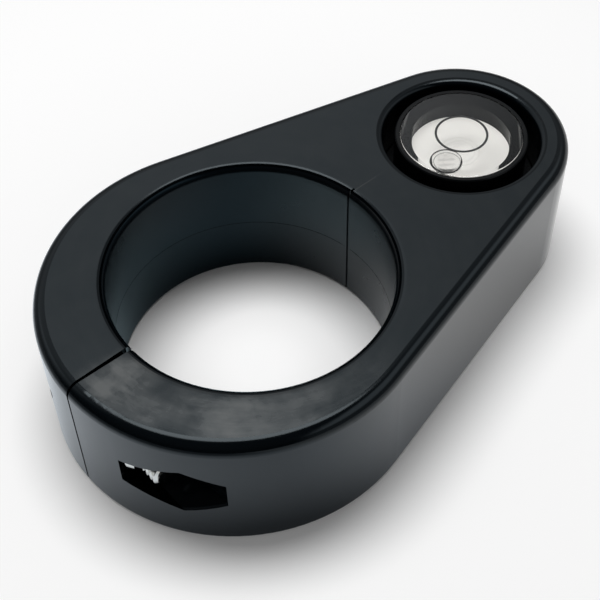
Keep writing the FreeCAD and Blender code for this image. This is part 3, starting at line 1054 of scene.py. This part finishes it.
def addHead(points, faces, radius, height):
    # from its underside outwards and up, with its knurl and its key socket
    columns, key = fastener["columns"], hexReach(fastener["keyFlats"])
    knurl, (knurlStart, knurlEnd) = fastener["knurlDepth"], fastener["knurlEnds"]
    under, across, down = fastener["headChamfers"]
    mouth, (depth, drill) = fastener["keyChamfer"], fastener["keyDepth"]

    def ridge(angle):
        return radius - knurl * (int(angle / (math.tau / columns) + 0.5) % 2)

    plain = radius - knurl
    rows = [
        (fastener["crestRadius"], 0.0), (plain - under, 0.0), (plain, under), (ridge, knurlStart),
        (ridge, height - knurlEnd), (plain, height - down), (plain - across, height),
        (lambda angle: key(angle) + mouth, height), (key, height - mouth),
        (key, height - depth), (0, height - depth - drill),
    ]
    for below, above in zip(rows, rows[1:]):
        for step in range(columns):
            faces.append(tuple(range(len(points), len(points) + 4)))
            corners = ((below, step), (below, step + 1), (above, step + 1), (above, step))
            for (reach, level), place in corners:
                angle = math.tau * place / columns
                points.append(turned(reach(angle) if callable(reach) else reach, angle, level))


def buildScrew():
    low, high = boxOf("clamp_screw")
    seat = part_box("screw_washer")[1].y * 1000 + fastener["seatGap"]
    points, faces = [], []
    addThread(points, faces, seat - low.y)
    addHead(points, faces, (high.x - low.x) / 2, high.y - seat)
    piece = meshPiece("clampScrew", [metres(point) for point in points], faces)
    weld(piece)
    piece.rotation_euler = (math.radians(-90.0), 0, 0)
    piece.location = (centreOf("clamp_screw").x, mm(seat), 0)
    dress(piece, steel)
    settle(piece, "clamp_screw", "screw")


def weld(piece, sharpAngle=32.0):
    # joins points that coincide and drops faces that have no area
    tool = bmesh.new()
    tool.from_mesh(piece.data)
    bmesh.ops.remove_doubles(tool, verts=tool.verts, dist=mm(0.001))
    bmesh.ops.dissolve_degenerate(tool, edges=tool.edges, dist=mm(0.0005))
    loose = [vertex for vertex in tool.verts if not vertex.link_faces]
    bmesh.ops.delete(tool, geom=loose, context="VERTS")
    tool.to_mesh(piece.data)
    tool.free()
    piece.data.shade_smooth()
    piece.data.set_sharp_from_angle(angle=math.radians(sharpAngle))


def buildNut():
    low, high = boxOf("clamp_nut")
    side, thickness = hexReach(high.x - low.x), high.y - low.y
    bore, flank, (sink, mouth) = fastener["nutBore"], fastener["nutFlank"], fastener["nutSink"]
    (foot, land), (step, edge, fall) = fastener["nutCone"], fastener["nutEdges"]

    def shoulder(angle):
        return flank - (side(angle) - foot) * fall

    rows = [
        (bore + sink, 0.0), (side, 0.0), (side, shoulder), (foot, flank),
        (foot - step, flank + edge), (land + edge, thickness - edge), (land, thickness),
        (bore + mouth, thickness), (bore, thickness - mouth), (bore, sink),
    ]
    piece = turnedPiece("clampNut", rows, fastener["columns"], closed=True)
    piece.rotation_euler = (math.radians(90.0), 0, 0)
    piece.location = (centreOf("clamp_nut").x, mm(high.y), 0)
    dress(piece, steel)
    settle(piece, "clamp_nut")


def buildWasher():
    low, high = boxOf("screw_washer")
    outer, thickness = (high.x - low.x) / 2, high.y - low.y
    inner, edge = fastener["washerBore"], fastener["washerEdge"]
    rows = [(inner, 0.0), (outer, 0.0), (outer, thickness - edge)]
    rows += roundCorner(outer - edge, thickness - edge, edge, 0.0, 4)[1:]
    rows += roundCorner(inner + edge, thickness - edge, edge, 90.0, 4)
    piece = turnedPiece("screwWasher", rows, fastener["columns"], closed=True)
    piece.rotation_euler = (math.radians(-90.0), 0, 0)
    piece.location = (centreOf("screw_washer").x, mm(low.y), 0)
    dress(piece, steel)
    settle(piece, "screw_washer", "washer")


steel = finishSteel()
buildScrew()
buildNut()
buildWasher()
print("screw, washer and nut built")


# the parting line round the bore
partingLine = {
    "width": 0.15,
    "relief": 0.025,
    "splitHalfAngle": 1.3,  # degrees left free each side of the split
    "slitAngle": 5.92,
    "slitHalfAngle": 0.62,
    "sink": 0.01,           # how deep its foot lies in the wall
    "step": 2.0,            # degrees
    "leastSteps": 8,
    "taper": 0.5,           # share of the relief that each step from an end adds
    "sharpAngle": 60.0,
    # the ridge is real; its dark colour and low shine are painted shade that makes it read as a
    # dark line
    "colour": (0.0010, 0.0012, 0.0016, 1.0),
    "grainScale": 400.0,
    "roughness": (0.45, 0.7),
    "shine": 0.1,
}


def ridgeAlong(points, faces, first, last):
    # a three-sided bar inside the bore's wall from one angle to another, with tapered ends
    radius, z = moulding["boreRadius"], moulding["partingHeight"]
    half, foot = partingLine["width"] / 2, radius + partingLine["sink"]
    steps = max(partingLine["leastSteps"], int((last - first) / partingLine["step"]))
    start = len(points)
    for step in range(steps + 1):
        angle = math.radians(first + (last - first) * step / steps)
        full = min(1.0, min(step, steps - step) * partingLine["taper"])
        crest = radius - partingLine["relief"] * full
        for reach, rise in ((foot, -half), (crest, 0.0), (foot, half)):
            points.append(metres(turned(reach, angle, z + rise)))
    for step in range(steps):
        here, there = start + 3 * step, start + 3 * (step + 1)
        for low, high in ((0, 1), (1, 2), (2, 0)):
            faces.append((here + low, here + high, there + high, there + low))
    end = start + 3 * steps
    faces.append((start, start + 1, start + 2))
    faces.append((end + 2, end + 1, end))


def buildPartingLine():
    slit, free = partingLine["slitAngle"], partingLine["slitHalfAngle"]
    end = 180.0 - partingLine["splitHalfAngle"]
    points, faces = [], []
    ridgeAlong(points, faces, -end, slit - free)
    ridgeAlong(points, faces, slit + free, end)
    piece = meshPiece("partingLine", points, faces, partingLine["sharpAngle"])
    # painted shade: a dark, barely shiny finish draws the real ridge as a dark line
    material, tree, shader = newMaterial("partingLineShade")
    shade = noise(tree, objectPlace(tree), partingLine["grainScale"])
    setSockets(tree, shader, {
        "Base Color": partingLine["colour"],
        "Roughness": ramp(tree, shade, 0.3, 0.7, *partingLine["roughness"]),
        "Specular IOR Level": partingLine["shine"],
    })
    dress(piece, material)
    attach(piece, "holder")


buildPartingLine()
print("parting line built")
